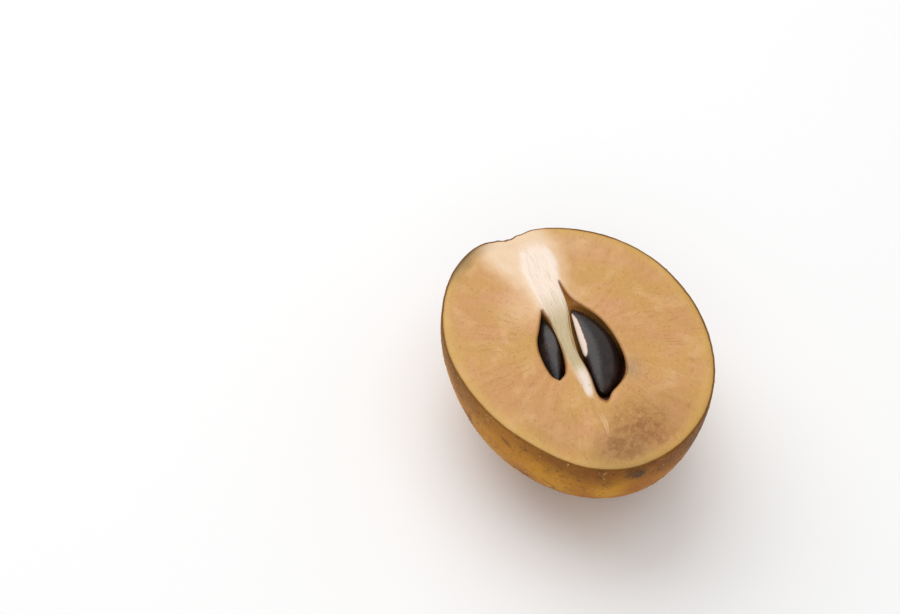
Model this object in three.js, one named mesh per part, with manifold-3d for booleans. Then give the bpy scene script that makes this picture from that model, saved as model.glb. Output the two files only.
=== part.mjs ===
import * as THREE from 'three';
import { mergeVertices } from 'three/addons/utils/BufferGeometryUtils.js';
import Module from 'manifold-3d';

// Half of a sapodilla, cut lengthwise through the core and lying on its skin.
// Millimetres. +Z points up out of the cut face and +Y to the stem end.
// The origin is on the surface it lies on, under the middle of the fruit.

const halfWidth = 25.4; // across the cut face
const halfLength = 31; // stem end to tip, before the stem hollow is drawn in
const cutHeight = 27.7; // the cut face above the surface
const widestHeight = 25.6; // the skin bulges out a little below the cut
const footSink = 0.6; // depth of the underside that the weight presses flat
const stemFullness = 0.055; // how much broader the stem end is than the tip
const endLean = 2.1; // both ends lean this far to -X
const middleShift = 0.6; // brings the middle of the length to the origin

const stemHollow = { x: -2.6, height: 26.5, depth: 2, reach: 4 };
const tipPoint = { x: -2.1, height: 25.6, rise: 0.5, reach: 1.1 };

// Seeds: length, breadth and thickness are the seed's own. It leans over sideways by
// leanDegrees about its length, and its outer edge is the lower one. Its crown stands
// crownRise above the cut face, and it bows out from the core in the middle. x, y and
// turnDegrees place its middle and its length on the plan of the cut face.
const rightSeed = {
  name: 'seed_right',
  length: 21.5,
  breadth: 7.8,
  thickness: 4.6,
  leanDegrees: 24,
  outward: 1,
  crownRise: 0.35,
  bow: 2.1,
  x: 1.5,
  y: -0.8,
  turnDegrees: 9,
};
const leftSeed = {
  name: 'seed_left',
  length: 18.6,
  breadth: 8,
  thickness: 4,
  leanDegrees: 62,
  outward: -1,
  crownRise: -0.2,
  bow: 0.2,
  x: -6.6,
  y: 2.3,
  turnDegrees: 11,
};

// The mouth of each pocket on the cut face, measured along and across its seed.
// across and along are the mouth's middle from the seed's, towards +X and the stem end.
const rightMouth = { length: 25.8, width: 8, across: -0.15, along: 0, taper: 0.34 };
const leftMouth = { length: 17.8, width: 4.4, across: 0.8, along: -0.3, taper: 0.08 };
const seedGap = 0.6; // between a seed's flanks and its pocket
const endGap = 1.1; // between a seed's ends and its pocket
const seedTaper = 0.38; // how much the stem end of a seed is drawn in
const bellyTaper = 0.22; // the same for the belly of its pocket
const beak = 0.4; // the seed's stem end hooks this far to the core
// The long pale scar is a ridge on the seed's edge at the core.
const scar = { rise: 0.3, spread: 0.3, from: -0.36, to: 0.92, fadeOut: 0.2 };

// The pale core stands just proud of the softer flesh. Each station gives its middle and width.
const coreRise = 0.3;
const coreStations = [
  { y: 28.2, x: -2.3, width: 6 },
  { y: 25, x: -1.4, width: 11.4 },
  { y: 20, x: -0.9, width: 9 },
  { y: 14.5, x: -0.6, width: 5.9 },
  { y: 9, x: -1.1, width: 6.2 },
  { y: 4, x: -2.1, width: 4.4 },
  { y: -2, x: -2.8, width: 4.4 },
  { y: -8, x: -3.2, width: 2.8 },
  { y: -12.2, x: -4, width: 1.2 },
];

const fruitSteps = { around: 120, down: 15 };
const pocketSteps = { around: 44, down: 6 };
const seedSteps = { around: 32, along: 22 };

const degree = Math.PI / 180;
const wasm = await Module();
wasm.setup();

function reshape(geometry, move) {
  const places = geometry.getAttribute('position');
  const point = new THREE.Vector3();
  for (let i = 0; i < places.count; i += 1) {
    move(point.fromBufferAttribute(places, i));
    places.setXYZ(i, point.x, point.y, point.z);
  }
  return geometry;
}

function toSolid(geometry) {
  geometry.deleteAttribute('normal');
  geometry.deleteAttribute('uv');
  const merged = mergeVertices(geometry, 1e-4);
  const corners = merged.index.array;
  const kept = [];
  for (let i = 0; i < corners.length; i += 3) {
    const [a, b, c] = corners.slice(i, i + 3);
    if (a !== b && b !== c && c !== a) {
      kept.push(a, b, c);
    }
  }
  return new wasm.Manifold(new wasm.Mesh({
    numProp: 3,
    vertProperties: new Float32Array(merged.getAttribute('position').array),
    triVerts: new Uint32Array(kept),
  }));
}

function toGeometry(solid) {
  const mesh = solid.getMesh();
  const geometry = new THREE.BufferGeometry();
  geometry.setAttribute('position', new THREE.BufferAttribute(mesh.vertProperties, 3));
  geometry.setIndex(new THREE.BufferAttribute(mesh.triVerts, 1));
  geometry.computeVertexNormals();
  return geometry;
}

// A closed turned solid with its axis along Z. The profile runs from the bottom up.
function turned(profile, around) {
  const points = profile.map(([reach, height]) => new THREE.Vector2(reach, height));
  return new THREE.LatheGeometry(points, around).rotateX(90 * degree);
}

// A smooth bump that is 1 at nothing and fades out over reach.
function fade(distance, reach) {
  return Math.exp(-((distance / reach) ** 2));
}

// From the flat foot up the round of the skin to the rim, then in over the cut face.
function fruitProfile() {
  const roundDepth = widestHeight + footSink;
  const rimAngle = Math.asin((cutHeight - widestHeight) / roundDepth);
  const footAngle = Math.asin(widestHeight / roundDepth);
  const profile = [[0, 0]];
  for (let i = 0; i <= fruitSteps.down; i += 1) {
    const angle = -footAngle + (rimAngle + footAngle) * (i / fruitSteps.down);
    const reach = Math.cos(angle) / Math.cos(rimAngle);
    profile.push([reach, widestHeight + roundDepth * Math.sin(angle)]);
  }
  profile[1][1] = 0;
  profile[profile.length - 1][1] = cutHeight;
  profile.push([0, cutHeight]);
  return profile;
}

function shapeFruit(point) {
  const across = point.x;
  const along = point.y;
  point.x = halfWidth * across * (1 + stemFullness * along) - endLean * along ** 6;
  point.y = halfLength * along + middleShift;
  if (along > 0) {
    const away = Math.hypot(point.x - stemHollow.x, point.z - stemHollow.height);
    point.y -= stemHollow.depth * fade(away, stemHollow.reach);
  } else {
    const away = Math.hypot(point.x - tipPoint.x, point.z - tipPoint.height);
    point.y -= tipPoint.rise * fade(away, tipPoint.reach);
  }
}

// A leaning seed's section, told by its half height, its half width at mid height and
// how far it slides sideways for each step up.
function leaningSection({ breadth, thickness, leanDegrees, outward }) {
  const sine = Math.sin(leanDegrees * degree);
  const cosine = Math.cos(leanDegrees * degree);
  const b = breadth / 2;
  const t = thickness / 2;
  const halfHeight = Math.hypot(b * sine, t * cosine);
  return {
    sine,
    cosine,
    halfHeight,
    halfMiddle: (b * t) / halfHeight,
    halfPlan: Math.hypot(b * cosine, t * sine),
    slide: (-outward * (b * b - t * t) * sine * cosine) / halfHeight ** 2,
    edgeAngle: Math.asin((b * sine) / halfHeight),
  };
}

// Width along a seed or pocket, as a share of a plain oval's.
function narrowing(along, stemTaper, tipTaper) {
  return 1 - (along > 0 ? stemTaper : tipTaper) * along * along;
}

function seedHeight(seed) {
  return cutHeight + seed.crownRise - leaningSection(seed).halfHeight;
}

// How far the scar stands out at a point of the unit ball that a seed is shaped from.
function scarRise(point, seed, edgeAngle) {
  const angle = Math.atan2(point.z, -seed.outward * point.x);
  const start = THREE.MathUtils.smoothstep(point.y, scar.from, scar.from + scar.fadeOut);
  const end = 1 - THREE.MathUtils.smoothstep(point.y, scar.to - scar.fadeOut, scar.to);
  return scar.rise * fade(angle - edgeAngle, scar.spread) * start * end;
}

function seedGeometry(seed) {
  const section = leaningSection(seed);
  const ball = new THREE.SphereGeometry(1, seedSteps.around, seedSteps.along);
  return reshape(ball, (point) => {
    const along = point.y;
    const ridge = scarRise(point, seed, section.edgeAngle);
    const hook = beak * Math.max(along, 0) ** 6;
    const girth = narrowing(along, seedTaper, 0);
    const height = section.halfHeight * point.z * girth;
    point.x = section.halfMiddle * point.x * girth + section.slide * height
      + seed.bow * (1 - along * along) - seed.outward * (section.cosine * ridge + hook);
    point.y = (seed.length / 2) * along;
    point.z = height + section.sine * ridge;
  });
}

// A pocket opens at its mouth on the cut face and closes round the underside of its seed.
function pocketGeometry(seed, mouth) {
  const section = leaningSection(seed);
  const depth = section.halfHeight + seedGap;
  const rise = section.halfHeight - seed.crownRise;
  const profile = [[0, -depth]];
  for (let i = 1; i <= pocketSteps.down; i += 1) {
    const angle = 90 * degree * (i / pocketSteps.down);
    profile.push([Math.sin(angle), -depth * Math.cos(angle)]);
  }
  profile.push([1, rise], [1, 2 * rise], [0, 2 * rise]);
  return reshape(turned(profile, pocketSteps.around), (point) => {
    const across = point.x;
    const along = point.y;
    const opening = Math.min(Math.max(point.z / rise, 0), 1);
    const belly = section.halfPlan + seedGap;
    const halfAcross = THREE.MathUtils.lerp(belly, mouth.width / 2, opening);
    const halfAlong = THREE.MathUtils.lerp(seed.length / 2 + endGap, mouth.length / 2, opening);
    const slide = point.z < 0 ? section.slide * point.z : mouth.across * opening;
    const stemTaper = THREE.MathUtils.lerp(bellyTaper, mouth.taper, opening);
    point.x = halfAcross * across * narrowing(along, stemTaper, mouth.taper * opening)
      + slide + seed.bow * (1 - along * along);
    point.y = halfAlong * along + mouth.along * opening;
  });
}

function placeOnPlan(geometry, seed) {
  geometry.rotateZ(-seed.turnDegrees * degree);
  geometry.translate(seed.x, seed.y, seedHeight(seed));
  return geometry;
}

function coreGeometry() {
  const right = coreStations.map(({ x, y, width }) => new THREE.Vector2(x + width / 2, y));
  const left = coreStations.map(({ x, y, width }) => new THREE.Vector2(x - width / 2, y));
  const outline = new THREE.Shape();
  outline.moveTo(right[0].x, right[0].y);
  outline.splineThru(right.slice(1));
  left.reverse();
  outline.lineTo(left[0].x, left[0].y);
  outline.splineThru(left.slice(1));
  outline.closePath();
  const sunk = 2;
  const settings = { depth: sunk + coreRise, bevelEnabled: false, curveSegments: 18 };
  return new THREE.ExtrudeGeometry(outline, settings).translate(0, 0, cutHeight - sunk);
}

function fruitGeometry() {
  const body = reshape(turned(fruitProfile(), fruitSteps.around), shapeFruit);
  let solid = toSolid(body).add(toSolid(coreGeometry()));
  for (const [seed, mouth] of [[rightSeed, rightMouth], [leftSeed, leftMouth]]) {
    solid = solid.subtract(toSolid(placeOnPlan(pocketGeometry(seed, mouth), seed)));
  }
  return toGeometry(solid);
}

const fleshColour = new THREE.MeshStandardMaterial({
  color: 0xd0a06c,
  roughness: 0.6,
  metalness: 0,
});
const seedColour = new THREE.MeshStandardMaterial({
  color: 0x17120f,
  roughness: 0.18,
  metalness: 0,
});

const sapodillaHalf = new THREE.Group();
const fruitHalf = new THREE.Mesh(fruitGeometry(), fleshColour);
fruitHalf.name = 'fruit_half';
sapodillaHalf.add(fruitHalf);

for (const seed of [leftSeed, rightSeed]) {
  const mesh = new THREE.Mesh(seedGeometry(seed), seedColour.clone());
  mesh.name = seed.name;
  mesh.rotation.z = -seed.turnDegrees * degree;
  mesh.position.set(seed.x, seed.y, seedHeight(seed));
  sapodillaHalf.add(mesh);
}

export default sapodillaHalf;
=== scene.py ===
import math
import bpy
import numpy as np
from mathutils import Matrix, Vector, noise
from mathutils.geometry import delaunay_2d_cdt


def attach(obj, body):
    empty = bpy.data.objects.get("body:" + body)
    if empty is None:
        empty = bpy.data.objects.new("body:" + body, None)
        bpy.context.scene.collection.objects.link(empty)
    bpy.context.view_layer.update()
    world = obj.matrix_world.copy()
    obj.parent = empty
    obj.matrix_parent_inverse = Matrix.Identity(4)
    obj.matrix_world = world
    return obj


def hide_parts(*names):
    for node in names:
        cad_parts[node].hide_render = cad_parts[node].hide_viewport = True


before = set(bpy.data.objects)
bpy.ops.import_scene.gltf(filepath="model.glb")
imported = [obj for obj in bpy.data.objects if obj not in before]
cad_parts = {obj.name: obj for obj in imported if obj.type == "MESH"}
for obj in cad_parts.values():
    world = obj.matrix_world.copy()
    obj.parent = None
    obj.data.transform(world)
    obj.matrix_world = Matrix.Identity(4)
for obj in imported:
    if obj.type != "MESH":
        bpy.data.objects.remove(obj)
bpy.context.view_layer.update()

# Half of a sapodilla, cut lengthwise through the core and lying on its skin.
# Sizes are in millimetres and become metres when a mesh is made.
mm = 0.001
degree = math.pi / 180

fruit = {
    "halfWidth": 25.4,  # across the cut face
    "halfLength": 31.0,  # stem end to tip
    "cutHeight": 27.7,
    "widestHeight": 25.6,  # the skin bulges out a little below the cut
    "footSink": 0.6,  # the underside is pressed flat by this much
    "stemFullness": 0.055,
    "endLean": 2.1,
    "endSharp": 6,
    "endFrom": (0.3, 0.8),  # shares of the half length where the ends' own shapes grow
    "middleShift": 0.6,
    "around": 480,  # points round the rim
    "down": 76,  # rows of skin from the rim to the foot
    "rimRows": (0.35, 0.6),  # closer rows at the rim
    "lumps": (0.2, 13.0, 0.2),  # height, width and sink of the broad unevenness
    "scurf": (0.05, 1.5, 0.3),  # the same of the sandy roughness
    "footCalm": (0.1, 3.0),  # both grow from nothing between these heights
    "scurfFrom": (0.4, 1.2),  # so do the loose flakes
}
stemHollow = {"x": -2.6, "height": 26.5, "depth": 2.0, "reach": 4.0}
stemScar = {
    "reach": 2.3,
    "rim": (0.26, 0.65),  # height and width of the corky ring
    "plug": (0.26, 0.55),  # height of the middle, and its share of the reach
    "folds": (0.1, 9, 0.7, 1.1),  # height, number, share of the reach, width
    "cover": (0.9, 1.9),  # the cork ends between these shares of the reach
    "along": (10, 20),  # it starts and is whole this far from the middle, as at the tip
}
tipPoint = {"x": -2.1, "height": 25.6, "rise": 0.5, "reach": 1.1, "cover": 1.3}

flesh = {
    "spacing": 0.34,  # between points on the cut face
    "spread": (29, 34),  # they're laid out this far from the middle
    "jiggle": (0.06, 5),  # how far each is moved at random, and the seed
    "skinThick": 0.34,
    "rimRings": (0.1, 0.2, 0.34, 0.5, 0.75, 1.1),
    "rimRound": (0.3, 1.6),  # drop and width of the soft edge
    "skinLip": (0.05, 0.15),  # the cut skin stands up: height and width
    "lipRings": (0.1, 0.24, 0.45, 0.7),
    "lipRound": (0.35, 0.8),  # the same round each pocket's mouth
    "sway": (0.13, 8.5),  # height and width of the knife's waves
    "grain": (0.04, 0.8),  # of the granular flesh
    "rays": (0.035, 9.0),  # height and number per radian
    "middle": (-2.4, 2.0),  # where the rays run out from
    "rayFrom": (2, 9),  # and how far from there they grow
    "coreRise": 0.22,
    "coreFolds": (0.09, (2.0, 0.25, 1.0)),  # height, and how narrow along each axis
    "edgeCalm": 0.8,  # what rises does so this far from the rim
    "grainFrom": (0.6, 1.6),  # way in from an edge where grains stand
    "grainFan": (0.02, 0.3),  # and the share of the pale fan that ends them
}

# The pale core and the softer fan of pale flesh round it: place up the fruit, middle, width
coreStations = (
    (29.0, 1.2, 3.4), (27.0, 1.1, 5.0), (24.0, 0.8, 6.8), (21.0, 0.3, 7.6), (18.0, -0.3, 6.9),
    (14.5, -0.7, 6.0), (9.0, -1.1, 5.3), (4.0, -2.0, 4.2), (-2.0, -2.9, 3.0), (-8.0, -3.1, 2.3),
    (-12.8, -3.9, 1.3),
)
fanStations = (
    (31.0, -2.2, 14.0), (27.5, -1.9, 16.5), (24.0, -1.7, 16.0), (20.0, -1.4, 13.0), (15.0, -1.3, 10.0),
    (9.0, -1.6, 8.0),
)
# soft edges, where the core dies away towards the stem, and what is left of it there
coreSoft, fanSoft, bandEnd = 2.2, 7.0, 1.5
coreFade, coreLeft = (28.6, 23.6), 0.15

rightSeed = {
    "name": "seed_right", "length": 21.5, "breadth": 7.8, "thickness": 4.6, "lean": 24, "outward": 1,
    "crownRise": 0.35, "bow": 2.1, "x": 1.5, "y": -0.8, "turn": 9, "scarTurn": 0.09,
    # the pocket's mouth beside the seed: along it, left edge, right edge
    "mouth": (
        (16.8, -1.75, -1.75), (15.0, -1.74, -1.4), (13.0, -1.65, -0.9), (11.3, -1.65, -0.1),
        (9.4, -1.8, 1.5), (7.0, -2.35, 3.2), (4.0, -2.85, 4.45), (1.0, -3.1, 5.2),
        (-2.0, -2.9, 5.6), (-5.0, -2.3, 5.6), (-8.0, -2.0, 4.9), (-10.2, -2.0, 3.0),
        (-12.0, -1.9, 0.9), (-13.7, -1.3, -0.3), (-14.2, -0.8, -0.8),
    ),
    "mouthPoints": 190,
}
leftSeed = {
    "name": "seed_left", "length": 18.6, "breadth": 8.0, "thickness": 4.0, "lean": 62, "outward": -1,
    "crownRise": -0.2, "bow": 0.2, "x": -6.6, "y": 2.3, "turn": 11, "scarTurn": -1.5,
    "mouth": (
        (8.3, 1.2, 1.2), (7.2, 0.85, 1.5), (6.0, 0.45, 1.9), (3.5, -0.4, 2.3), (1.0, -1.3, 2.55),
        (-1.5, -1.6, 2.75), (-4.0, -1.4, 2.8), (-6.5, -0.95, 2.5), (-8.2, -0.3, 1.8),
        (-9.2, 0.7, 0.7),
    ),
    "mouthPoints": 130,
}
pocket = {"seedGap": 0.6, "endGap": 1.1, "bellyTaper": 0.22, "flare": 1.4, "wallRows": 9, "bowlRows": 12}
seedShape = {"Taper": 0.38, "Beak": 0.4, "Scar Rise": 0.3, "Scar Spread": 0.3,
             "Scar From": -0.34, "Scar To": 0.96, "Scar Fade": 0.2, "Stripe": 0.35}


def smoothstep(low, high, value):
    share = np.clip((value - low) / (high - low), 0, 1)
    return share * share * (3 - 2 * share)


def bump(distance, width):
    return np.exp(-((distance / width) ** 2))


def smoothThrough(stations, column, at):
    # a smooth curve through one column of the stations, by their first column
    rows = sorted(stations)
    place = np.array([row[0] for row in rows])
    value = np.array([row[column] for row in rows])
    slope = np.gradient(value, place)
    at = np.clip(at, place[0], place[-1])
    i = np.clip(np.searchsorted(place, at) - 1, 0, len(place) - 2)
    step = place[i + 1] - place[i]
    t = (at - place[i]) / step
    return ((2 * t**3 - 3 * t**2 + 1) * value[i] + (t**3 - 2 * t**2 + t) * step * slope[i]
            + (3 * t**2 - 2 * t**3) * value[i + 1] + (t**3 - t**2) * step * slope[i + 1])


def noiseAt(points, width, shift=0.0):
    # between about -1 and 1, with bumps about as wide as width
    offset = Vector((shift, shift, shift))
    return np.array([noise.noise(Vector(p) / width + offset) for p in points])


def roughAt(points, width, octaves=3):
    return np.array([noise.fractal(Vector(p) / width, 0.8, 2.1, octaves) for p in points])


def skinPlace(across, along, height):
    x = fruit["halfWidth"] * across * (1 + fruit["stemFullness"] * along)
    x = x - fruit["endLean"] * along ** fruit["endSharp"]
    y = fruit["halfLength"] * along + fruit["middleShift"]
    away = np.hypot(x - stemHollow["x"], height - stemHollow["height"])
    y = y - stemHollow["depth"] * bump(away, stemHollow["reach"]) * smoothstep(*fruit["endFrom"], along)
    away = np.hypot(x - tipPoint["x"], height - tipPoint["height"])
    y = y - tipPoint["rise"] * bump(away, tipPoint["reach"]) * smoothstep(*fruit["endFrom"], -along)
    return np.stack([x, y, np.broadcast_to(height, x.shape)], -1)


def scarRelief(points):
    # how far the corky stem scar stands out, and how much of a point it covers
    x, z = points[:, 0] - stemHollow["x"], points[:, 2] - stemHollow["height"]
    away, angle = np.hypot(x, z), np.arctan2(z, x)
    atStem = smoothstep(*stemScar["along"], points[:, 1])
    reach = stemScar["reach"]
    height, width = stemScar["rim"]
    relief = height * bump(away - reach, width)
    height, share = stemScar["plug"]
    relief += height * np.exp(-((away / (share * reach)) ** 4))
    height, number, share, width = stemScar["folds"]
    relief += height * np.sin(number * angle + 2 * np.sin(3 * angle)) * bump(away - share * reach, width)
    near, far = stemScar["cover"]
    cover = 1 - smoothstep(reach * near, reach * far, away)
    return relief * atStem, cover * atStem


def tipCover(points):
    away = np.hypot(points[:, 0] - tipPoint["x"], points[:, 2] - tipPoint["height"])
    atTip = smoothstep(*stemScar["along"], -points[:, 1])
    return bump(away, tipPoint["cover"] * tipPoint["reach"]) * atTip


def skinShell():
    # rows of points from the rim down to the edge of the flat foot
    roundDepth = fruit["widestHeight"] + fruit["footSink"]
    rimAngle = math.asin((fruit["cutHeight"] - fruit["widestHeight"]) / roundDepth)
    footAngle = math.asin(fruit["widestHeight"] / roundDepth)
    share = np.linspace(0, 1, fruit["down"] + 1)
    start, power = fruit["rimRows"]
    share = share * (start + (1 - start) * share**power)
    turn = np.linspace(0, 2 * math.pi, fruit["around"], endpoint=False)
    angle = (rimAngle - (rimAngle + footAngle) * share)[:, None]
    reach = np.cos(angle) / math.cos(rimAngle)
    height = fruit["widestHeight"] + roundDepth * np.sin(angle) + 0 * turn
    points = skinPlace(reach * np.cos(turn), reach * np.sin(turn), height).reshape(-1, 3)

    outward = points - np.array([0, 0, fruit["widestHeight"]])
    outward /= np.array([fruit["halfWidth"], fruit["halfLength"], roundDepth]) ** 2
    outward /= np.linalg.norm(outward, axis=1)[:, None]
    lift, scar = scarRelief(points)
    settle = smoothstep(*fruit["footCalm"], points[:, 2])
    lumps, width, sink = fruit["lumps"]
    rise = lumps * (noiseAt(points, width, 4.0) - sink)
    scurf, width, sink = fruit["scurf"]
    rise += scurf * (roughAt(points, width) - sink)
    scar = np.maximum(scar, tipCover(points))
    points = points + outward * ((rise + lift) * settle)[:, None]
    points[:, 2] = np.clip(points[:, 2], 0, fruit["cutHeight"])
    points[: fruit["around"], 2] = fruit["cutHeight"]
    points[-fruit["around"]:, 2] = 0
    return points.reshape(len(share), fruit["around"], 3), scar.reshape(len(share), fruit["around"])


def seedSection(seed):
    b, t = seed["breadth"] / 2, seed["thickness"] / 2
    sine, cosine = math.sin(seed["lean"] * degree), math.cos(seed["lean"] * degree)
    halfHeight = math.hypot(b * sine, t * cosine)
    return {
        "halfHeight": halfHeight,
        "halfPlan": math.hypot(b * cosine, t * sine),
        "slide": -seed["outward"] * (b * b - t * t) * sine * cosine / halfHeight**2,
        "middle": fruit["cutHeight"] + seed["crownRise"] - halfHeight,
    }


def placeOnPlan(points, seed):
    # from across and along a seed to the fruit's own plan
    turn = seed["turn"] * degree
    x = points[:, 0] * math.cos(turn) + points[:, 1] * math.sin(turn) + seed["x"]
    y = -points[:, 0] * math.sin(turn) + points[:, 1] * math.cos(turn) + seed["y"]
    return np.stack([x, y], -1)


def mouthOutline(seed):
    turn = np.linspace(0, 2 * math.pi, seed["mouthPoints"], endpoint=False)
    ends = [row[0] for row in seed["mouth"]]
    along = min(ends) + (max(ends) - min(ends)) * (np.sin(turn) + 1) / 2
    left = smoothThrough(seed["mouth"], 1, along)
    right = smoothThrough(seed["mouth"], 2, along)
    across = np.where(np.cos(turn) > 0, np.maximum(right, left), np.minimum(left, right))
    return placeOnPlan(np.stack([across, along], -1), seed)


def pocketRows(seed, topRing):
    # rings of points from the mouth down round the underside of the seed
    section = seedSection(seed)
    turn = np.linspace(0, 2 * math.pi, seed["mouthPoints"], endpoint=False)
    across, along = np.cos(turn), np.sin(turn)
    narrow = 1 - np.where(along > 0, pocket["bellyTaper"], 0) * along**2
    bellyAcross = (section["halfPlan"] + pocket["seedGap"]) * across * narrow
    bellyAlong = (seed["length"] / 2 + pocket["endGap"]) * along
    bow = seed["bow"] * (1 - along**2)
    belly = placeOnPlan(np.stack([bellyAcross + bow, bellyAlong], -1), seed)
    rows = []
    for i in range(1, pocket["wallRows"] + 1):
        up = 1 - i / pocket["wallRows"]
        plan = belly + (topRing[:, :2] - belly) * up ** pocket["flare"]
        height = section["middle"] + (topRing[:, 2] - section["middle"]) * up
        rows.append(np.column_stack([plan, height]))
    depth = section["halfHeight"] + pocket["seedGap"]
    for i in range(1, pocket["bowlRows"]):
        angle = math.pi / 2 * i / pocket["bowlRows"]
        reach, drop = math.cos(angle), depth * math.sin(angle)
        middle = seed["bow"] * (1 - (reach * along) ** 2) - section["slide"] * drop
        plan = placeOnPlan(np.stack([bellyAcross * reach + middle, bellyAlong * reach], -1), seed)
        rows.append(np.column_stack([plan, np.full(len(turn), section["middle"] - drop)]))
    bottom = placeOnPlan(np.array([[seed["bow"] - section["slide"] * depth, 0.0]]), seed)[0]
    return rows, np.array([*bottom, section["middle"] - depth])


def offsetRing(outline, distance):
    # the outline moved to its left by distance, as seen going round it
    along = np.roll(outline, -1, 0) - np.roll(outline, 1, 0)
    along /= np.linalg.norm(along, axis=1)[:, None]
    return outline + np.stack([-along[:, 1], along[:, 0]], -1) * distance


def gapTo(outline, points):
    # shortest way from each point to a closed outline
    start, end = outline, np.roll(outline, -1, 0)
    way = end - start
    length = np.maximum((way**2).sum(1), 1e-12)
    nearest = []
    for some in np.array_split(points, max(1, len(points) // 2000)):
        rel = some[:, None] - start
        t = np.clip((rel * way).sum(2) / length, 0, 1)
        nearest.append(np.sqrt(((rel - t[..., None] * way) ** 2).sum(2)).min(1))
    return np.concatenate(nearest)


def isInside(outline, points):
    x, y = points[:, 0], points[:, 1]
    inside = np.zeros(len(points), bool)
    for (ax, ay), (bx, by) in zip(outline, np.roll(outline, -1, 0)):
        if ay == by:
            continue
        inside ^= ((ay > y) != (by > y)) & (x < (bx - ax) * (y - ay) / (by - ay) + ax)
    return inside


def bandShare(points, stations, soft):
    # 1 inside the band that the stations give and 0 well outside it
    x, y = points[:, 0], points[:, 1]
    inset = smoothThrough(stations, 2, y) / 2 - np.abs(x - smoothThrough(stations, 1, y))
    low = min(row[0] for row in stations)
    return smoothstep(-0.5 * soft, 0.5 * soft, inset) * smoothstep(low - bandEnd, low + bandEnd, y)


def faceHeight(plan, rimGap, lipGap, core):
    flat = np.column_stack([plan, np.zeros(len(plan))])
    away = plan - np.array(flesh["middle"])
    reach = np.hypot(away[:, 0], away[:, 1])
    angle = np.arctan2(away[:, 1], away[:, 0])
    height, number = flesh["rays"]
    near, far = flesh["rayFrom"]
    rayPlace = np.stack([np.cos(angle) * number, np.sin(angle) * number, reach / far], -1)
    rise = height * noiseAt(rayPlace, 1.0) * smoothstep(near, far, reach) * (1 - core)
    height, width = flesh["sway"]
    rise += height * noiseAt(flat, width, 2.0)
    height, width = flesh["grain"]
    rise += height * roughAt(flat, width) * (1 - 0.5 * core)
    height, narrow = flesh["coreFolds"]
    rise += height * noiseAt(flat * np.array(narrow), 1.0, 7.0) * core + flesh["coreRise"] * core
    drop, width = flesh["rimRound"]
    rise -= drop * np.clip(1 - rimGap / width, 0, 1) ** 2
    drop, width = flesh["lipRound"]
    rise -= drop * np.clip(1 - lipGap / width, 0, 1) ** 2
    rise = np.where(rise > 0, rise * smoothstep(0, flesh["edgeCalm"], rimGap), rise)
    height, width = flesh["skinLip"]
    skinEdge = 0.6 * flesh["skinThick"]
    rise += height * (bump(rimGap - skinEdge, width) - bump(rimGap - 2.2 * skinEdge, width))
    return fruit["cutHeight"] + rise


def spreadPoints(rim, mouths):
    # an even spread over the cut face, with closer rings beside each edge
    spots = [offsetRing(rim, gap) for gap in flesh["rimRings"]]
    spots = [ring[isInside(rim, ring)] for ring in spots]
    for mouth in mouths:
        for gap in flesh["lipRings"]:
            ring = offsetRing(mouth, -gap)
            spots.append(ring[(gapTo(mouth, ring) > 0.85 * gap) & ~isInside(mouth, ring)])
    space = flesh["spacing"]
    acrossEnd, alongEnd = flesh["spread"]
    rows = np.arange(-alongEnd, alongEnd, space * math.sqrt(3) / 2)
    columns = np.arange(-acrossEnd, acrossEnd, space)
    spread = np.array([(x + (k % 2) * space / 2, y) for k, y in enumerate(rows) for x in columns])
    spread = spread[isInside(rim, spread)]
    spread = spread[gapTo(rim, spread) > flesh["rimRings"][-1] + 0.6 * space]
    for mouth in mouths:
        clear = gapTo(mouth, spread) > flesh["lipRings"][-1] + 0.6 * space
        spread = spread[clear & ~isInside(mouth, spread)]
    jiggle, seed = flesh["jiggle"]
    spots.append(spread + np.random.default_rng(seed).uniform(-jiggle, jiggle, spread.shape))
    return np.concatenate(spots)


def cutFace(rim, mouths):
    # the points of the cut face, edges first, and its triangles
    plan = np.concatenate([rim, *mouths, spreadPoints(rim, mouths)])
    loops, start = [], 0
    for loop in (rim, *mouths):
        count = len(loop)
        loops += [(start + i, start + (i + 1) % count) for i in range(count)]
        start += count
    made = delaunay_2d_cdt([Vector(p) for p in plan], loops, [], 1, 1e-7)
    plan = np.array([tuple(p) for p in made[0]])
    faces = np.array([tuple(f) for f in made[2]])
    centres = plan[faces].mean(1)
    keep = isInside(rim, centres)
    for mouth in mouths:
        keep &= ~isInside(mouth, centres)
    faces = faces[keep]
    a, b, c = plan[faces[:, 0]], plan[faces[:, 1]], plan[faces[:, 2]]
    flip = (b - a)[:, 0] * (c - a)[:, 1] - (b - a)[:, 1] * (c - a)[:, 0] < 0
    faces[flip] = faces[flip][:, ::-1]
    return plan, faces


def addObject(name, mesh):
    made = bpy.data.objects.new(name, mesh)
    bpy.context.scene.collection.objects.link(made)
    return made


skinSlot, fleshSlot, pocketSlot = 0, 1, 2  # places of the half's materials


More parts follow.
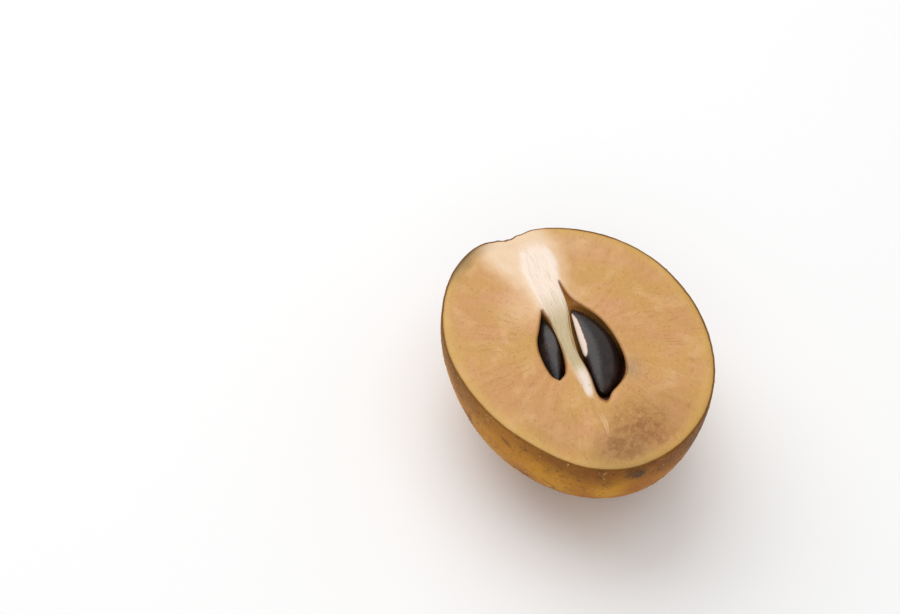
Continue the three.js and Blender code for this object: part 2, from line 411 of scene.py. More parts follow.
def makeHalf():
    shell, scar = skinShell()
    around = fruit["around"]
    rim = shell[0, :, :2]
    seeds = (rightSeed, leftSeed)
    mouths = [mouthOutline(seed) for seed in seeds]
    plan, faces = cutFace(rim, mouths)
    rimGap = gapTo(rim, plan)
    rimGap[:around] = 0
    lipGap = np.minimum(*[gapTo(mouth, plan) for mouth in mouths])
    core = bandShare(plan, coreStations, coreSoft)
    core *= coreLeft + (1 - coreLeft) * smoothstep(*coreFade, plan[:, 1])
    top = np.column_stack([plan, faceHeight(plan, rimGap, lipGap, core)])

    points = [top]
    corners = [tuple(int(i) for i in face) for face in faces]
    finish = [fleshSlot if gap > flesh["skinThick"] else skinSlot for gap in rimGap[faces].mean(1)]
    rimScar = np.zeros(len(plan))
    rimScar[:around] = scar[0]
    fan = bandShare(plan, fanStations, fanSoft)
    # grains stand clear of the edges and of the pale flesh
    grainy = smoothstep(*flesh["grainFrom"], np.minimum(rimGap, lipGap))
    grainy = grainy * (1 - smoothstep(*flesh["grainFan"], fan)) * (1 - core)
    none = np.zeros(len(plan))
    values = {"rimGap": [rimGap], "lipGap": [lipGap], "core": [core], "fan": [fan], "scar": [rimScar],
              "under": [none], "skin": [none], "grainy": [grainy]}

    def add(block, **given):
        points.append(block)
        for key, column in values.items():
            column.append(np.broadcast_to(given.get(key, 0.0), (len(block),)))
        return sum(len(part) for part in points) - len(block)

    def lace(upper, lower, number, slot, outside=True):
        for i in range(number):
            j = (i + 1) % number
            ring = (upper + i, lower + i, lower + j, upper + j)
            corners.append(ring if outside else ring[::-1])
            finish.append(slot)

    upper = 0
    under = fruit["cutHeight"] - shell[:, :, 2]
    for k in range(1, len(shell)):
        skin = smoothstep(*fruit["scurfFrom"], shell[k][:, 2])
        lower = add(shell[k], scar=scar[k], under=under[k], skin=skin)
        lace(upper, lower, around, skinSlot)
        upper = lower
    foot = add(np.array([shell[-1].mean(0)]), under=fruit["cutHeight"])
    for i in range(around):
        corners.append((upper + i, foot, upper + (i + 1) % around))
        finish.append(skinSlot)

    start = around
    for seed, mouth in zip(seeds, mouths):
        number = len(mouth)
        rows, bottom = pocketRows(seed, top[start: start + number])
        upper = start
        for row in rows:
            lower = add(row, under=fruit["cutHeight"] - row[:, 2])
            lace(upper, lower, number, pocketSlot, outside=False)
            upper = lower
        pit = add(np.array([bottom]), under=fruit["cutHeight"] - bottom[2])
        for i in range(number):
            corners.append((upper + i, upper + (i + 1) % number, pit))
            finish.append(pocketSlot)
        start += number

    mesh = bpy.data.meshes.new("sapodilla_half")
    mesh.from_pydata((np.concatenate(points) * mm).tolist(), [], corners)
    for key, column in values.items():
        layer = mesh.attributes.new(key, "FLOAT", "POINT")
        layer.data.foreach_set("value", np.concatenate(column).astype(np.float32))
    mesh.polygons.foreach_set("material_index", finish)
    mesh.shade_smooth()
    return addObject("sapodilla_half", mesh)


class Wire:  # an output socket that plain arithmetic works on
    def __init__(self, socket):
        self.socket = socket
        self.tree = socket.id_data

    def math(self, operation, *others):
        return shaderNode(self.tree, "Math", dict(enumerate((self, *others))), operation=operation)

    def __add__(self, other):
        return self.math("ADD", other)

    def __sub__(self, other):
        return self.math("SUBTRACT", other)

    def __mul__(self, other):
        return self.math("MULTIPLY", other)

    def __truediv__(self, other):
        return self.math("DIVIDE", other)

    def __pow__(self, other):
        return self.math("POWER", other)


def plug(value, slot):
    if isinstance(value, Wire):
        slot.id_data.links.new(value.socket, slot)
    else:
        slot.default_value = value


def addNode(tree, kind, inputs=None, **settings):
    made = tree.nodes.new(kind)
    for key, value in settings.items():
        setattr(made, key, value)
    for key, value in (inputs or {}).items():
        plug(value, made.inputs[key])
    return made


def out(made, key=0):
    return Wire(made.outputs[key])


def shaderNode(tree, kind, inputs=None, key=0, **settings):
    return out(addNode(tree, "ShaderNode" + kind, inputs, **settings), key)


def geo(tree, kind, inputs=None, key=0, **settings):
    return out(addNode(tree, "GeometryNode" + kind, inputs, **settings), key)


def vectorMath(operation, *values):
    key = "Value" if operation in ("LENGTH", "DISTANCE") else "Vector"
    return shaderNode(values[0].tree, "VectorMath", dict(enumerate(values)), key, operation=operation)


def mapRange(value, low, high, toLow=0.0, toHigh=1.0):
    inputs = {0: value, 1: low, 2: high, 3: toLow, 4: toHigh}
    return shaderNode(value.tree, "MapRange", inputs, interpolation_type="SMOOTHSTEP")


def colour(red, green, blue):
    # a screen colour from 0 to 255, as the light it stands for
    return tuple((c / 255) ** 2.2 for c in (red, green, blue)) + (1.0,)


def blend(share, first, second):
    return shaderNode(share.tree, "Mix", {0: share, 6: first, 7: second}, 2, data_type="RGBA")


def tint(tone, other, value, low, high, most=1.0, within=None):
    # brings in the other tone, up to the share most, as the value goes from low to high
    share = mapRange(value, low, high, 0, most)
    return blend(share * within if within else share, tone, other)


def noiseField(place, width, detail=3.0, rough=0.55, warp=0.0):
    # width is about the size of one patch in millimetres
    inputs = {"Vector": place, "Scale": 1 / (width * mm), "Detail": detail, "Roughness": rough,
              "Distortion": warp}
    return shaderNode(place.tree, "TexNoise", inputs, "Fac")


def spotShare(place, spots, height=fruit["cutHeight"]):
    # how much a point is in any of the soft round spots
    total = None
    for x, y, radius, soft, most in spots:
        away = vectorMath("DISTANCE", place, (x * mm, y * mm, height * mm))
        share = mapRange(away, (radius + soft) * mm, (radius - soft) * mm, 0, most)
        total = total + share if total else share
    return total


def startMaterial(name):
    material = bpy.data.materials.new(name)
    material.use_nodes = True
    tree = material.node_tree
    return material, tree.nodes["Principled BSDF"], shaderNode(tree, "TexCoord", key="Object")


def readAttribute(place, name):
    return shaderNode(place.tree, "Attribute", key="Fac", attribute_name=name)


def northOf(place):
    # in millimetres
    return shaderNode(place.tree, "SeparateXYZ", {0: place}, "Y") * (1 / mm)


def finishSurface(shader, tone, grit, paint, height=None, duller=None):
    # the grit sets the gloss between the paint's two roughnesses, and the bumps unless height does
    plug(tone, shader.inputs["Base Color"])
    rough = mapRange(grit, 0.3, 0.7, *paint["roughness"])
    plug(rough + duller if duller else rough, shader.inputs["Roughness"])
    depth, strength = paint["bump"]
    inputs = {"Height": height or grit, "Distance": depth * mm, "Strength": strength}
    plug(shaderNode(grit.tree, "Bump", inputs), shader.inputs["Normal"])


fleshPaint = {
    "base": colour(198, 143, 82),
    "pink": colour(205, 146, 96),
    "yellow": colour(199, 149, 76),
    "pale": colour(219, 172, 115),
    "dusk": colour(150, 95, 34),
    "shade": colour(168, 119, 56),
    "glow": colour(230, 186, 140),
    "stain": colour(130, 112, 86),
    "rimBand": colour(206, 161, 80),
    "rimOlive": colour(134, 104, 54),
    "rimDark": colour(98, 78, 42),
    "ray": colour(213, 168, 118),
    "lip": colour(134, 84, 36),
    "fan": colour(223, 181, 136),
    "fanPale": colour(237, 208, 175),
    "core": colour(246, 226, 208),
    "coreNarrow": colour(200, 181, 142),
    "coreTip": colour(234, 216, 200),
    "roughness": (0.32, 0.52),
    "bump": (0.13, 0.8),
    "subsurface": {"Weight": 0.12, "Radius": (1.0, 0.55, 0.25), "Scale": 1.6 * mm},
    "streaks": (14.0, 160),  # how narrow they are, and how soon they change along their length
    "streaksFrom": (4, 12),
    "narrowFrom": (15, 5),  # places up the fruit between which the core changes tone
    "tipFrom": (-4.5, -7.5),
}
# soft round spots on the cut face: x, y, radius, soft edge, strength
fleshSpots = {
    "glow": ((-7.6, 11.8, 3.0, 4.5, 0.75), (5.6, 11.6, 1.0, 3.0, 0.6), (9.6, 24.0, 3.0, 5.0, 0.45)),
    # the shade spots are painted shade: the cut face darker towards the lower right, the bottom and the
    # lower left
    "shade": ((8.0, -22.0, 5.0, 7.0, 0.55), (-2.5, -27.5, 5.0, 5.0, 0.6), (-15.5, -18.5, 4.0, 7.0, 0.4)),
    "stain": ((6.0, -8.8, 1.6, 3.0, 0.6),),
    "mottle": ((2.0, -23.0, 5.0, 5.0, 1.0), (-4.5, -26.6, 3.4, 3.6, 0.9)),
    # painted shade on the cut face's edge near the tip, in the olive rim colour
    "tipRimShade": ((-5.0, -31.0, 7.0, 6.0, 0.32),),
    "stemRim": ((-12.8, 26.8, 5.0, 4.0, 1.0),),
}


def fleshTone(place):
    paint = fleshPaint
    tone = tint(paint["yellow"], paint["base"], noiseField(place, 10, 2.5), 0.36, 0.64)
    shifted = vectorMath("ADD", place, (0.03, 0.01, 0.0))
    tone = tint(tone, paint["pink"], noiseField(shifted, 7, 3.0), 0.48, 0.68, 0.8)
    tone = tint(tone, paint["pale"], noiseField(place, 5.5, 3.0, 0.55, 0.4), 0.5, 0.72, 0.6)

    # fine streaks that run out to the skin
    middle = (*flesh["middle"], fruit["cutHeight"])
    away = vectorMath("SUBTRACT", place, tuple(value * mm for value in middle))
    narrow, change = paint["streaks"]
    direction = vectorMath("MULTIPLY", vectorMath("NORMALIZE", away), (narrow, narrow, 0.0))
    reach = vectorMath("LENGTH", away)
    inputs = {"Vector": direction, "W": reach * change, "Scale": 1.0, "Detail": 3.0}
    streak = shaderNode(place.tree, "TexNoise", inputs, "Fac", noise_dimensions="4D")
    outer = mapRange(reach, *(value * mm for value in paint["streaksFrom"]))
    tone = tint(tone, paint["ray"], streak, 0.5, 0.7, 0.32, outer)
    tone = tint(tone, paint["dusk"], streak, 0.46, 0.3, 0.16, outer)

    # the shade spots among these paint shade on the lower right, the bottom and the lower left
    for name in ("glow", "shade", "stain"):
        tone = blend(spotShare(place, fleshSpots[name]), tone, paint[name])
    mottle = spotShare(place, fleshSpots["mottle"])
    mottle = mottle * mapRange(noiseField(place, 3.0, 3.0, 0.6), 0.36, 0.56, 0.6, 1.1)
    fine = noiseField(place, 1.3, 4.0, 0.75, 0.3)
    tone = blend(mottle * mapRange(fine, 0.4, 0.58, 0.4, 1.1), tone, paint["dusk"])
    return tint(tone, paint["dusk"], noiseField(place, 1.1, 3.0, 0.6), 0.56, 0.72, 0.22)


def coreTone(place):
    # whiter at the stem and at its tail than between the seeds
    paint = fleshPaint
    north = northOf(place)
    tone = tint(paint["core"], paint["coreNarrow"], north, *paint["narrowFrom"])
    tone = tint(tone, paint["coreTip"], north, *paint["tipFrom"])
    fibre = noiseField(vectorMath("MULTIPLY", place, (1.0, 0.12, 1.0)), 0.6, 3.0, 0.6)
    return tint(tone, paint["coreNarrow"], fibre, 0.5, 0.3, 0.3), fibre


def fleshMaterial():
    material, shader, place = startMaterial("moist_flesh")
    paint = fleshPaint
    rimGap = readAttribute(place, "rimGap")
    rimEdge = rimGap + (noiseField(place, 4.0) - 0.5) * 2.4
    # a yellower band along the rim: partly the flesh's own tone, partly a painted highlight on the rounded
    # edge
    tone = tint(fleshTone(place), paint["rimBand"], rimEdge, 3.4, 0.4, 0.7)
    tone = tint(tone, paint["rimOlive"], rimGap, 0.8, 0.3, 0.45)
    # painted shade: the flesh by the rim near the tip pulled towards olive
    tone = blend(spotShare(place, fleshSpots["tipRimShade"]), tone, paint["rimOlive"])
    fan = readAttribute(place, "fan") + (noiseField(place, 3.0) - 0.5) * 0.5
    tone = tint(tone, paint["fan"], fan, 0.05, 0.75, 0.85)
    tone = tint(tone, paint["fanPale"], fan, 0.5, 1.15, 0.9)
    stemRim = spotShare(place, fleshSpots["stemRim"])
    tone = tint(tone, paint["rimOlive"], rimEdge, 3.6, 0.4, 0.8, stemRim)
    tone = tint(tone, paint["rimDark"], rimGap, 1.2, 0.5, 0.6, stemRim)

    core, fibre = coreTone(place)
    inCore = readAttribute(place, "core") + (fibre - 0.5) * 0.7
    tone = tint(tone, core, inCore, 0.1, 0.95, 0.96)
    tone = tint(tone, paint["lip"], readAttribute(place, "lipGap"), 0.55, 0.02, 0.8)
    grit = noiseField(place, 0.45, 3.0, 0.7)
    inputs = {"Vector": place, "Scale": 1 / (0.55 * mm)}
    cells = shaderNode(place.tree, "TexVoronoi", inputs, "Distance", feature="SMOOTH_F1")
    finishSurface(shader, tone, grit, paint, grit * 0.7 + cells * 0.5)
    for key, value in paint["subsurface"].items():
        shader.inputs["Subsurface " + key].default_value = value
    return material


skinPaint = {
    "gold": colour(194, 134, 26),
    "amber": colour(164, 98, 12),
    "brown": colour(108, 62, 2),
    "ripe": colour(186, 118, 26),
    "umber": colour(86, 50, 12),
    "dust": colour(192, 150, 82),
    "edge": colour(124, 82, 22),
    "cork": colour(98, 72, 46),
    "roughness": (0.5, 0.72),
    "bump": (0.12, 0.8),
    "sheen": 0.06,
    "sheenRoughness": 0.5,
    "shine": 0.22,
}
skinSpots = {  # the same on the skin, each with its height before it
    "ripe": (22.0, (-21.0, -13.0, 7.0, 7.0, 0.6)),
    # the brown spot is painted shade: the skin's lower right darkened with the brown tone
    "brown": (23.0, (13.0, -24.0, 7.0, 6.0, 0.7)),
}


def skinMaterial():
    material, shader, place = startMaterial("scurfy_skin")
    paint = skinPaint
    tone = tint(paint["gold"], paint["amber"], noiseField(place, 9, 3.0), 0.38, 0.62)
    under = readAttribute(place, "under")
    top = under + (noiseField(place, 4.5, 4.0) - 0.5) * 11
    tone = tint(tone, paint["brown"], top, 7.5, 1.5, 0.75)
    # the ripe spot is an orange patch; the brown spot paints shade on the skin's lower right
    for name, (height, spot) in skinSpots.items():
        tone = blend(spotShare(place, [spot], height), tone, paint[name])
    tone = tint(tone, paint["umber"], noiseField(place, 3.6, 4.0, 0.62, 0.6), 0.54, 0.68, 0.7)
    tone = tint(tone, paint["umber"], noiseField(place, 1.2, 3.0, 0.6), 0.57, 0.7, 0.45)
    tone = tint(tone, paint["dust"], noiseField(place, 0.4, 2.0, 0.7), 0.54, 0.75, 0.32)
    tone = tint(tone, paint["edge"], under, 0.5, 0.1, 0.6)
    cork = tint(paint["cork"], paint["umber"], noiseField(place, 0.6, 3.0), 0.4, 0.6)
    tone = tint(tone, cork, readAttribute(place, "scar"), 0.1, 0.8)
    grit = noiseField(place, 0.5, 4.0, 0.7)
    finishSurface(shader, tone, grit, paint)
    shader.inputs["Specular IOR Level"].default_value = paint["shine"]
    shader.inputs["Sheen Weight"].default_value = paint["sheen"]
    shader.inputs["Sheen Roughness"].default_value = paint["sheenRoughness"]
    shader.inputs["Sheen Tint"].default_value = paint["dust"]
    return material


pocketPaint = {
    "mouth": colour(206, 150, 82),
    "wall": colour(206, 146, 74),
    "dark": colour(74, 38, 26),
    "deepShade": colour(96, 56, 28),
    "roughness": (0.35, 0.55),
    "bump": (0.12, 0.6),
    "darkFrom": (3, -4),  # darker towards the tip, and painted shade far down in the pocket
    "deepShadeFrom": (3.5, 7.0),
}


def pocketMaterial():
    material, shader, place = startMaterial("pocket_lining")
    paint = pocketPaint
    under = readAttribute(place, "under") + (noiseField(place, 2.0) - 0.5) * 1.2
    north = northOf(place) + (noiseField(place, 4.0) - 0.5) * 4
    wall = tint(paint["wall"], paint["dark"], north, *paint["darkFrom"])
    tone = tint(paint["mouth"], wall, under, 0.2, 1.0)
    # painted shade: the lining turns darker far down in the pocket
    tone = tint(tone, paint["deepShade"], under, *paint["deepShadeFrom"])
    grit = noiseField(place, 0.8, 3.0)
    finishSurface(shader, tone, grit, paint)
    return material


seedPaint = {
    "coat": colour(38, 31, 31),
    "coatWarm": colour(54, 40, 36),
    "scar": colour(230, 212, 198),
    "scarEdge": colour(110, 78, 48),
    "roughness": (0.24, 0.36),
    "scarRoughness": 0.3,
    "bump": (0.07, 0.7),
}


def seedMaterial():
    material, shader, place = startMaterial("glossy_seed_coat")
    paint = seedPaint
    tone = tint(paint["coat"], paint["coatWarm"], noiseField(place, 3.0), 0.45, 0.65)
    scar = readAttribute(place, "scar") + (noiseField(place, 0.7) - 0.5) * 0.25
    tone = tint(tone, paint["scarEdge"], scar, 0.3, 0.46)
    tone = tint(tone, paint["scar"], scar, 0.44, 0.58)
    fine = noiseField(place, 0.6, 3.0)
    duller = mapRange(scar, 0.3, 0.55, 0.0, paint["scarRoughness"])
    finishSurface(shader, tone, fine, paint, duller=duller)
    return material


def speckMaterial(name, first, second, roughness):
    # each small piece has a tone of its own between the two colours
    material, shader, place = startMaterial(name)
    tone = blend(readAttribute(place, "tone"), first, second)
    fine = noiseField(place, 0.2, 2.0)
    plug(tint(tone, first, fine, 0.4, 0.7, 0.3), shader.inputs["Base Color"])
    shader.inputs["Roughness"].default_value = roughness
    return material


def grainMaterial(name):
    # the flesh's own colours, a little paler
    material, shader, place = startMaterial(name)
    share = readAttribute(place, "tone") * 0.5
    plug(blend(share, fleshTone(place), fleshPaint["ray"]), shader.inputs["Base Color"])
    shader.inputs["Roughness"].default_value = 0.4
    return material


def newTree(name, inputs):
    # a geometry tree with named inputs: a number, a place or an object
    tree = bpy.data.node_groups.new(name, "GeometryNodeTree")
    tree.interface.new_socket("Geometry", in_out="INPUT", socket_type="NodeSocketGeometry")
    kinds = {tuple: "Vector", int: "Int", float: "Float", type(None): "Object"}
    for key, value in inputs.items():
        kind = "NodeSocket" + kinds[type(value)]
        socket = tree.interface.new_socket(key, in_out="INPUT", socket_type=kind)
        if value is not None:
            socket.default_value = value
    tree.interface.new_socket("Geometry", in_out="OUTPUT", socket_type="NodeSocketGeometry")
    given = tree.nodes.new("NodeGroupInput")
    return tree, {socket.name: Wire(socket) for socket in given.outputs if socket.name}


def endTree(geometry, material):
    tree = geometry.tree
    whole = geo(tree, "RealizeInstances", {0: geometry})
    painted = geo(tree, "SetMaterial", {"Geometry": whole, "Material": material})
    plug(painted, tree.nodes.new("NodeGroupOutput").inputs[0])


def runTree(tree, name, base=None, **values):
    # the tree's result as a plain mesh object
    holder = addObject(name + "_maker", base.copy() if base else bpy.data.meshes.new(name))
    modifier = holder.modifiers.new("Nodes", "NODES")
    modifier.node_group = tree
    for socket in tree.interface.items_tree:
        if socket.in_out == "INPUT" and socket.name in values:
            modifier[socket.identifier] = values[socket.name]
    deps = bpy.context.evaluated_depsgraph_get()
    result = bpy.data.meshes.new_from_object(holder.evaluated_get(deps))
    result.name = name
    bpy.data.objects.remove(holder)
    return addObject(name, result)


def random(tree, low, high, seed, ident=None):
    inputs = {2: low, 3: high, 8: seed} if ident is None else {2: low, 3: high, 7: ident, 8: seed}
    return out(addNode(tree, "FunctionNodeRandomValue", inputs, data_type="FLOAT"), 1)


def namedField(tree, name):
    return geo(tree, "InputNamedAttribute", {"Name": name}, data_type="FLOAT")


def combined(x=0.0, y=0.0, z=0.0):
    tree = next(value.tree for value in (x, y, z) if isinstance(value, Wire))
    return shaderNode(tree, "CombineXYZ", {0: x, 1: y, 2: z})


def storeNumber(geometry, name, value, domain="POINT"):
    inputs = {"Geometry": geometry, "Name": name, "Value": value}
    return geo(geometry.tree, "StoreNamedAttribute", inputs, data_type="FLOAT", domain=domain)


def smoothed(geometry):
    return geo(geometry.tree, "SetShadeSmooth", {"Geometry": geometry})


def moved(geometry, **where):
    return geo(geometry.tree, "SetPosition", {"Geometry": geometry, **where})


def numberedCopies(line, count):
    inputs = {"Geometry": line, "Amount": count}
    copies = addNode(line.tree, "GeometryNodeDuplicateElements", inputs, domain="SPLINE")
    marked = storeNumber(out(copies), "number", out(copies, "Duplicate Index"), "CURVE")
    return marked, namedField(line.tree, "number")


def seedValues(seed):
    return {
        "Length": seed["length"], "Breadth": seed["breadth"], "Thickness": seed["thickness"],
        "Lean": seed["lean"] * degree, "Outward": float(seed["outward"]), "Bow": seed["bow"],
        **seedShape, "Scar Turn": seed["scarTurn"],
        "Place": (seed["x"] * mm, seed["y"] * mm, seedSection(seed)["middle"] * mm),
        "Turn": (0.0, 0.0, -seed["turn"] * degree),
    }


def seedTree(values, material):
    tree, given = newTree("seed_shape", values)
    ball = geo(tree, "MeshUVSphere", {"Segments": 128, "Rings": 96, "Radius": 1.0})
    spot = addNode(tree, "ShaderNodeSeparateXYZ", {0: geo(tree, "InputPosition")})
    across, along, up = out(spot, 0), out(spot, 2), out(spot, 1) * -1.0

    inward = given["Outward"] * -1
    sine, cosine = given["Lean"].math("SINE"), given["Lean"].math("COSINE")
    b, t = given["Breadth"] / 2, given["Thickness"] / 2
    halfHeight = ((b * sine) ** 2 + (t * cosine) ** 2) ** 0.5
    slide = inward * (b * b - t * t) * sine * cosine / (halfHeight * halfHeight)

    # the long scar on the edge at the core
    low, high = given["Scar From"], given["Scar To"]
    start = mapRange(along, low, low + given["Scar Fade"])
    end = mapRange(along, high, high - given["Scar Fade"])
    turn = up.math("ARCTAN2", inward * across) - (b * sine / halfHeight).math("ARCSINE")
    off = turn / given["Scar Spread"]
    ridge = (off * off * -1).math("EXPONENT") * start * end * given["Scar Rise"]
    narrow = mapRange(along, low, low + 0.4) * mapRange(along, high, high - 0.4) * 0.5 + 0.5
    off = (turn - given["Scar Turn"]) / (given["Stripe"] * narrow)
    scar = (off * off * -0.7).math("EXPONENT") * start * end

    forward = along.math("MAXIMUM", 0.0)
    hook = given["Beak"] * forward**6
    girth = forward * forward * given["Taper"] * -1 + 1
    height = halfHeight * up * girth
    arch = along * along * -1 + 1
    x = b * t / halfHeight * across * girth + slide * height + given["Bow"] * arch
    x = x - given["Outward"] * (cosine * ridge + hook)
    y = given["Length"] / 2 * along
    z = height + sine * ridge
    shaped = moved(storeNumber(ball, "scar", scar), Position=combined(x * mm, y * mm, z * mm))
    inputs = {"Geometry": smoothed(shaped), "Translation": given["Place"], "Rotation": given["Turn"]}
    endTree(geo(tree, "Transform", inputs), material)
    return tree


def makeSeeds(material):
    tree = seedTree(seedValues(leftSeed), material)
    for seed in (leftSeed, rightSeed):
        piece = runTree(tree, seed["name"] + "_coat", **seedValues(seed))
        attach(piece, "root")
        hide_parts(seed["name"])


specks = {
    "skin_scurf": {"where": "skin", "Density": 40.0, "Gap": 0.5, "Small": 0.12, "Large": 0.32,
                   "Flat": 0.3, "Clump": 3.0, "Seed": 3},
    "flesh_grit": {"where": "grainy", "Density": 130.0, "Gap": 0.35, "Small": 0.08, "Large": 0.17,
                   "Flat": 0.5, "Clump": 2.0, "Seed": 8},
}


def speckTree(name, values, where, material):
    tree, given = newTree(name, values)
    place = geo(tree, "InputPosition")  # clumps of pieces, a few millimetres wide
    inputs = {"Vector": place, "Scale": given["Clump"] ** -1 * (1 / mm), "Detail": 2.0}
    clump = shaderNode(tree, "TexNoise", inputs, "Fac")
    share = namedField(tree, where) * mapRange(clump, 0.38, 0.62, 0.1, 1.0)
    inputs = {"Mesh": given["Geometry"], "Distance Min": given["Gap"] * mm,
              "Density Max": given["Density"] * 1e4, "Density Factor": share, "Seed": given["Seed"]}
    spread = addNode(tree, "GeometryNodeDistributePointsOnFaces", inputs, distribute_method="POISSON")
    grain = smoothed(geo(tree, "MeshIcoSphere", {"Radius": 1.0, "Subdivisions": 1}))
    size = random(tree, given["Small"], given["Large"], 2) * mm
    scale = combined(size, size * random(tree, 0.6, 1.0, 4), size * given["Flat"])
    inputs = {"Points": out(spread), "Instance": grain, "Rotation": out(spread, "Rotation"), "Scale": scale}
    placed = geo(tree, "InstanceOnPoints", inputs)
    spin = combined(z=random(tree, 0.0, 2 * math.pi, 5))
    inputs = {"Instances": placed, "Rotation": out(addNode(tree, "FunctionNodeEulerToRotation", {0: spin}))}
    turned = geo(tree, "RotateInstances", inputs)
    endTree(storeNumber(turned, "tone", random(tree, 0.0, 1.0, 6), "INSTANCE"), material)
    return tree


def makeSpecks(half):
    materials = {
        "skin_scurf": speckMaterial("scurf_tone", skinPaint["brown"], skinPaint["dust"], 0.75),
        "flesh_grit": grainMaterial("grit_tone"),
    }
    for name, settings in specks.items():
        values = dict(settings)
        where = values.pop("where")
        tree = speckTree(name, values, where, materials[name])
        piece = runTree(tree, name, half.data, **values)
        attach(piece, "root")
        print(name + ":", len(piece.data.polygons), "faces")


fibres = {
    # strands beside each other along a path: number, thickness, seed, how far they stray
    "core_fibres": {"Count": 20, "Thick": 0.07, "Seed": 4, "Stray": 0.3, "Short": 0.35},
    "pale_bundle": {"Count": 6, "Thick": 0.1, "Seed": 9, "Stray": 0.12, "Short": 0.2},
}
pathSteps = 60
strand = {"waves": 180.0, "points": 26, "sides": 6, "drop": 3.0}  # the same for every fibre and ray
bundlePath = ((-16.6, -3.9, 0.9), (-19.3, -3.9, 0.8), (-22.2, -4.5, 0.5))  # along, middle, width


def pathMesh(name, stations):
    # a line of points with half its width at each
    ends = [row[0] for row in stations]
    y = np.linspace(min(ends), max(ends), pathSteps)
    x = smoothThrough(stations, 1, y)
    mesh = bpy.data.meshes.new(name)
    points = np.column_stack([x, y, np.full(pathSteps, fruit["cutHeight"])]) * mm
    mesh.from_pydata(points.tolist(), [(i, i + 1) for i in range(pathSteps - 1)], [])
    layer = mesh.attributes.new("half", "FLOAT", "POINT")
    layer.data.foreach_set("value", (smoothThrough(stations, 2, y) / 2 * mm).astype(np.float32))
    return mesh


def strandsToSurface(given, curve, number, material):
    # drops each strand on the cut face and gives it its thickness
    tree = curve.tree
    place = geo(tree, "InputPosition")
    inputs = {"Vector": place, "W": number, "Scale": strand["waves"], "Detail": 2.0}
    wander = shaderNode(tree, "TexNoise", inputs, "Color", noise_dimensions="4D")
    aside = vectorMath("MULTIPLY", vectorMath("SUBTRACT", wander, (0.5, 0.5, 0.5)), (1.0, 1.0, 0.0))
    inputs = {0: aside, "Scale": given["Stray"] * 4 * mm}
    loose = moved(curve, Offset=shaderNode(tree, "VectorMath", inputs, operation="SCALE"))
    fine = geo(tree, "ResampleCurve", {"Curve": loose, "Count": strand["points"]})
    target = geo(tree, "ObjectInfo", {"Object": given["Surface"]}, "Geometry")
    above = vectorMath("ADD", place, (0.0, 0.0, strand["drop"] * mm))
    inputs = {"Target Geometry": target, "Source Position": above, "Ray Direction": (0.0, 0.0, -1.0),
              "Ray Length": 2 * strand["drop"] * mm}
    laid = moved(fine, Position=geo(tree, "Raycast", inputs, "Hit Position"))
    ring = geo(tree, "CurvePrimitiveCircle", {"Resolution": strand["sides"], "Radius": mm})
    along = geo(tree, "SplineParameter")
    taper = (along * (along * -1 + 1) * 4).math("MAXIMUM", 0.02) ** 0.5 * given["Thick"]
    inputs = {"Curve": laid, "Profile Curve": ring, "Scale": taper, "Fill Caps": True}
    tube = geo(tree, "CurveToMesh", inputs)
    endTree(smoothed(storeNumber(tube, "tone", 0.5)), material)


def pathTree(values, material):
    tree, given = newTree("fibres_along", {"Surface": None, **values})
    line = geo(tree, "MeshToCurve", {"Mesh": given["Geometry"]})
    marked, number = numberedCopies(line, given["Count"])
    side = random(tree, -0.9, 0.9, given["Seed"], number)
    spread = moved(marked, Offset=combined(namedField(tree, "half") * side))
    first = random(tree, 0.0, given["Short"], given["Seed"] + 1, number)
    last = random(tree, given["Short"] * -1 + 1, 1.0, given["Seed"] + 2, number)
    trimmed = geo(tree, "TrimCurve", {"Curve": spread, "Start": first, "End": last})
    strandsToSurface(given, trimmed, number, material)
    return tree


# the rays keep clear of the stem: from and to this turn round the middle
rays = {"Count": 60, "Thick": 0.06, "Seed": 12, "Stray": 0.35, "Near": 0.45, "Far": 0.72, "Reach": 0.16,
        "First": 2.3, "Last": 7.1}


def rayTree(values, material):
    tree, given = newTree("flesh_rays", {"Surface": None, **values})
    line = geo(tree, "ResampleCurve", {"Curve": geo(tree, "CurvePrimitiveLine"), "Count": 16})
    marked, number = numberedCopies(line, given["Count"])
    turn = random(tree, given["First"], given["Last"], given["Seed"], number)
    near = random(tree, given["Near"], given["Far"], given["Seed"] + 1, number)
    length = random(tree, 0.3, 1.0, given["Seed"] + 2, number) * given["Reach"]
    reach = near + length * geo(tree, "SplineParameter")
    x = turn.math("COSINE") * reach * (fruit["halfWidth"] * mm)
    y = turn.math("SINE") * reach * (fruit["halfLength"] * mm)
    spread = moved(marked, Position=combined(x, y, fruit["cutHeight"] * mm))
    strandsToSurface(given, spread, number, material)
    return tree


def coreFibreMaterial():
    material, shader, place = startMaterial("core_fibre_tone")
    plug(coreTone(place)[0], shader.inputs["Base Color"])
    shader.inputs["Roughness"].default_value = 0.5
    return material


def makeFibres(half):
    streak = speckMaterial("streak_tone", fleshPaint["fan"], fleshPaint["pale"], 0.5)
    paths = {"core_fibres": (coreStations, coreFibreMaterial()), "pale_bundle": (bundlePath, streak)}
    made = []
    for name, (stations, material) in paths.items():
        tree = pathTree(fibres[name], material)
        made.append(runTree(tree, name, pathMesh(name, stations), Surface=half, **fibres[name]))
    made.append(runTree(rayTree(rays, grainMaterial("ray_tone")), "flesh_rays", Surface=half, **rays))
    for piece in made:
        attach(piece, "root")
        print(piece.name + ":", len(piece.data.polygons), "faces")


floorSettings = {"size": 3.0, "height": -0.00005, "colour": (0.94, 0.94, 0.94, 1)}


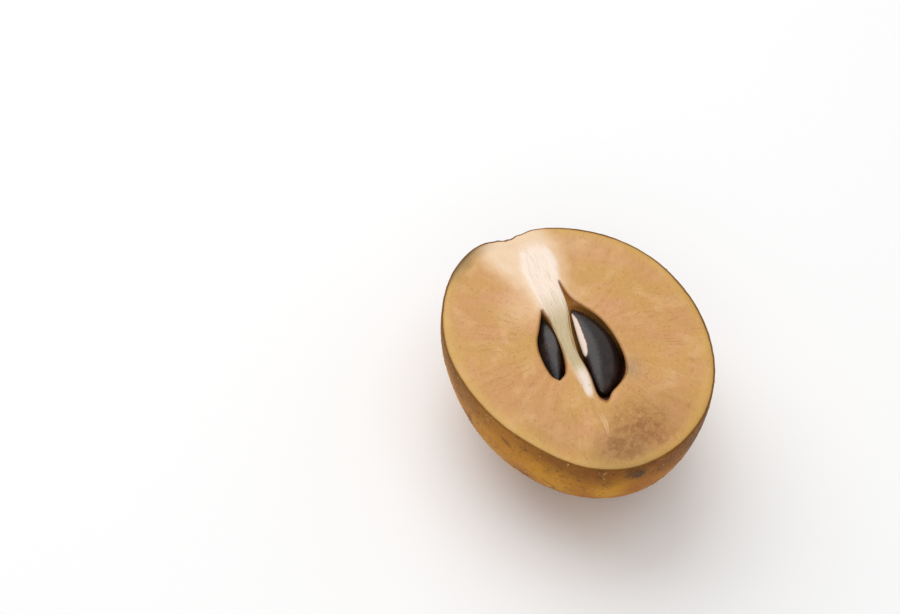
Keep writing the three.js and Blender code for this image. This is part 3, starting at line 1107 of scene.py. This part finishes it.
def makeFloor():
    mesh = bpy.data.meshes.new("floor")
    half = floorSettings["size"] / 2
    z = floorSettings["height"]
    corners = [(-half, -half, z), (half, -half, z), (half, half, z), (-half, half, z)]
    mesh.from_pydata(corners, [], [(0, 1, 2, 3)])
    floor = addObject("floor", mesh)
    material = bpy.data.materials.new("pale_floor")
    material.use_nodes = True
    shader = material.node_tree.nodes["Principled BSDF"]
    shader.inputs["Base Color"].default_value = floorSettings["colour"]
    shader.inputs["Roughness"].default_value = 0.9
    shader.inputs["Specular IOR Level"].default_value = 0.1
    mesh.materials.append(material)


lights = {
    # name: azimuth, height, distance, width, watts
    "key": (-170, 52, 0.75, 0.95, 3.4),
    "top": (20, 82, 0.9, 0.8, 1.4),
    "front": (-30, 35, 1.0, 0.8, 1.5),
}
skyStrength = 0.5


def makeLights():
    middle = Vector((0, 0, 0.02))
    for name, (azimuth, height, distance, width, watts) in lights.items():
        lamp = bpy.data.lights.new(name, "AREA")
        lamp.shape = "DISK"
        lamp.size = width
        lamp.energy = watts
        a, e = azimuth * degree, height * degree
        back = Vector((math.sin(a) * math.cos(e), -math.cos(a) * math.cos(e), math.sin(e)))
        lit = addObject(name, lamp)
        lit.location = middle + back * distance
        lit.rotation_euler = back.to_track_quat("Z", "Y").to_euler()
    world = bpy.data.worlds.new("studio")
    world.use_nodes = True
    sky = world.node_tree.nodes["Background"]
    sky.inputs["Color"].default_value = (1, 1, 1, 1)
    sky.inputs["Strength"].default_value = skyStrength
    bpy.context.scene.world = world
    bpy.context.scene.view_settings.view_transform = "Standard"


view = {
    "azimuth": -24.59, "elevation": 49.02, "roll": 3.63,  # degrees
    "distance": 346.28,  # along the view to the middle of the cut face
    "faceAt": (581.1, 341.7),  # where that middle is in the 900 by 614 picture
    "pictureMiddle": (450, 307),
    "lensPixels": 1800,
    "sensor": 36.0,
}


def makeCamera():
    a, e, r = (view[key] * degree for key in ("azimuth", "elevation", "roll"))
    forward = Vector((-math.sin(a) * math.cos(e), math.cos(a) * math.cos(e), -math.sin(e)))
    level = Vector((math.cos(a), math.sin(a), 0))
    upright = level.cross(forward)
    right = math.cos(r) * level + math.sin(r) * upright
    up = -math.sin(r) * level + math.cos(r) * upright
    pixels = view["lensPixels"]
    across, down = ((at - centre) / pixels for at, centre in zip(view["faceAt"], view["pictureMiddle"]))
    faceMiddle = Vector((0, 0.19, fruit["cutHeight"])) * mm
    data = bpy.data.cameras.new("camera")
    data.sensor_width = view["sensor"]
    data.lens = pixels / (2 * view["pictureMiddle"][0]) * view["sensor"]
    data.clip_start, data.clip_end = 0.01, 10
    camera = addObject("camera", data)
    place = faceMiddle - (forward + across * right - down * up) * view["distance"] * mm
    turn = Matrix((right, up, -forward)).transposed()
    camera.matrix_world = Matrix.Translation(place) @ turn.to_4x4()
    bpy.context.scene.camera = camera


makeCamera()
makeLights()
makeFloor()
print("camera, light and floor are set")

half = makeHalf()
for material in (skinMaterial(), fleshMaterial(), pocketMaterial()):
    half.data.materials.append(material)
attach(half, "root")
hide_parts("fruit_half")
print("half fruit:", len(half.data.polygons), "faces")

makeSeeds(seedMaterial())
print("seeds are made")
makeSpecks(half)
makeFibres(half)
